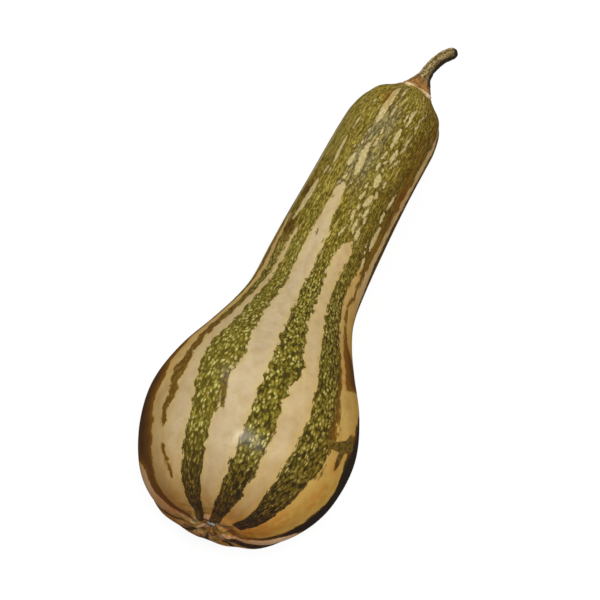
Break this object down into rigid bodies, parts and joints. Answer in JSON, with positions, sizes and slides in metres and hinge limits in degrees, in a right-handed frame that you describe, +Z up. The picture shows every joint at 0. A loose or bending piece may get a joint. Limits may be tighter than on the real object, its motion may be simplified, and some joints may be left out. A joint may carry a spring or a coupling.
{
  "type": "long-necked striped pumpkin",
  "caption": "Long-necked pumpkin lying on its side: round bulb, straight thick neck, cream rind with mottled green bands, dry ridged stem curling to one side.",
  "frame": {"origin": "middle of the flat ground spot under the bulb, on the surface that the pumpkin lies on", "axes": "+Y along the pumpkin from the blossom end to the stem, +Z up, so the stem curls towards +X"},
  "size_m": [0.176, 0.507, 0.1731],
  "materials": {
    "rind": "waxy, softly glossy, cream with mottled green bands",
    "stem_cork": "dry, rough, ridged"
  },
  "bodies": {
    "root": {"fruit": "rind", "stem": "stem_cork"}
  },
  "joints": []
}
